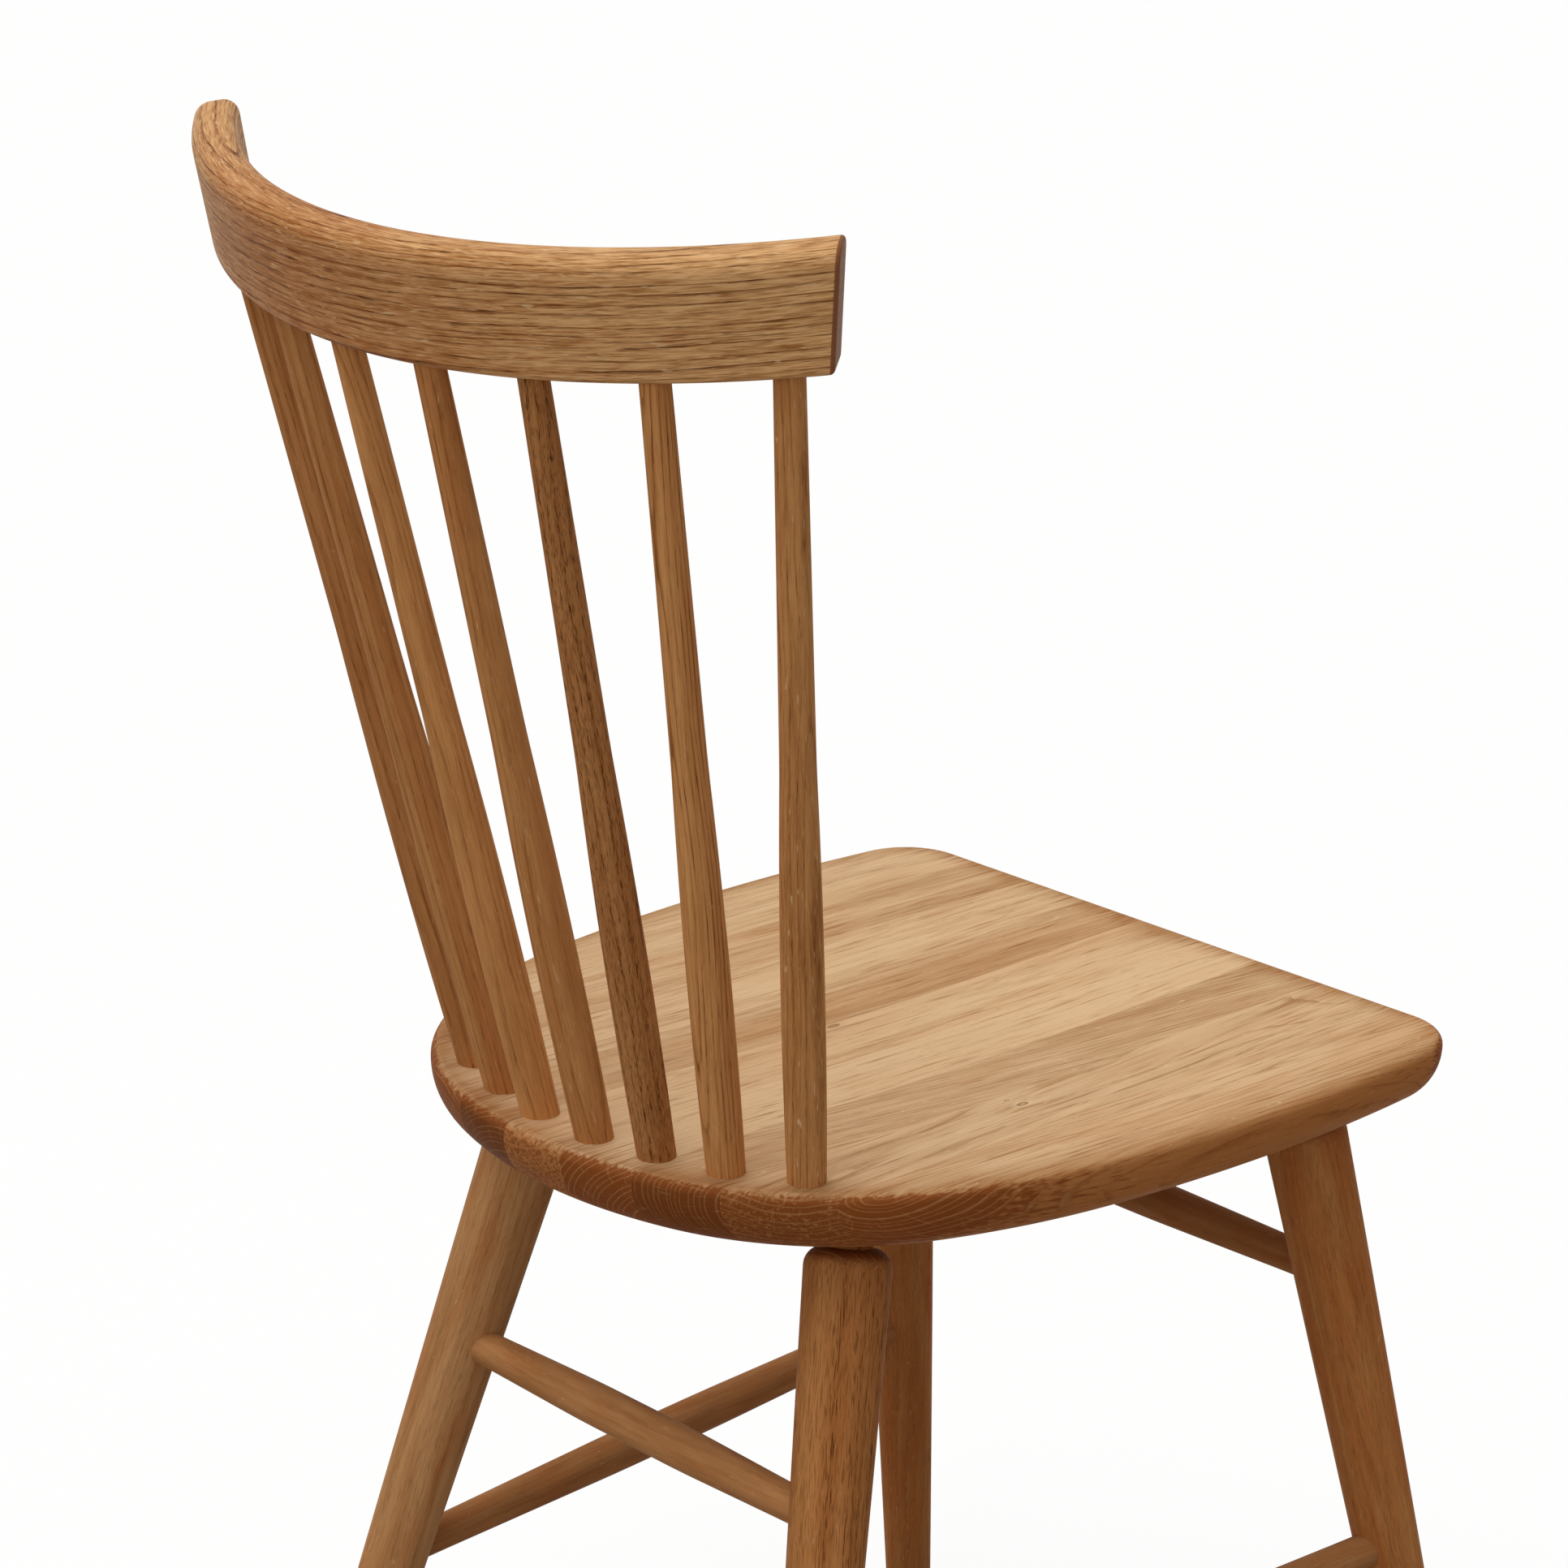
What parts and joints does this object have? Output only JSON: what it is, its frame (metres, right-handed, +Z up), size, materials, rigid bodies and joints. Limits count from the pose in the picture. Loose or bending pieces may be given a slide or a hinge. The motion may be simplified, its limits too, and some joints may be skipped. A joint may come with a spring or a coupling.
{
  "type": "windsor chair",
  "caption": "Wooden dining chair with a curved crest rail on fanned turned spindles, a glued-board seat rounded at the back, and splayed tapered legs tied by round stretchers.",
  "frame": {"origin": "centre of the overall box, on the floor under the feet", "axes": "+Z up; -Y is the way the chair and its sitter face, +Y the side of the spindle back; +X is the sitter's left"},
  "size_m": [0.4222, 0.5229, 0.8834],
  "materials": {
    "seat_wood": "satin oiled oak, glued boards with grain front to back",
    "rail_wood": "satin oiled oak, grain along the rail",
    "spindle_wood": "satin oiled oak, straight grain along the spindle",
    "leg_wood": "satin oiled oak, straight grain along the leg",
    "stretcher_wood": "satin oiled oak, straight grain along the stretcher"
  },
  "bodies": {
    "root": {"crest_rail": "rail_wood", "spindle_1": "spindle_wood", "spindle_2": "spindle_wood", "spindle_3": "spindle_wood", "spindle_4": "spindle_wood", "spindle_5": "spindle_wood", "spindle_6": "spindle_wood", "spindle_7": "spindle_wood", "spindle_8": "spindle_wood", "seat_board_1": "seat_wood", "seat_board_2": "seat_wood", "seat_board_3": "seat_wood", "seat_board_4": "seat_wood", "seat_board_5": "seat_wood", "seat_board_6": "seat_wood", "seat_board_7": "seat_wood", "seat_board_8": "seat_wood", "seat_board_9": "seat_wood", "leg_front_left": "leg_wood", "leg_front_right": "leg_wood", "leg_rear_left": "leg_wood", "leg_rear_right": "leg_wood", "stretcher_rear": "stretcher_wood", "stretcher_front": "stretcher_wood", "stretcher_left": "stretcher_wood", "stretcher_right": "stretcher_wood"}
  },
  "joints": []
}
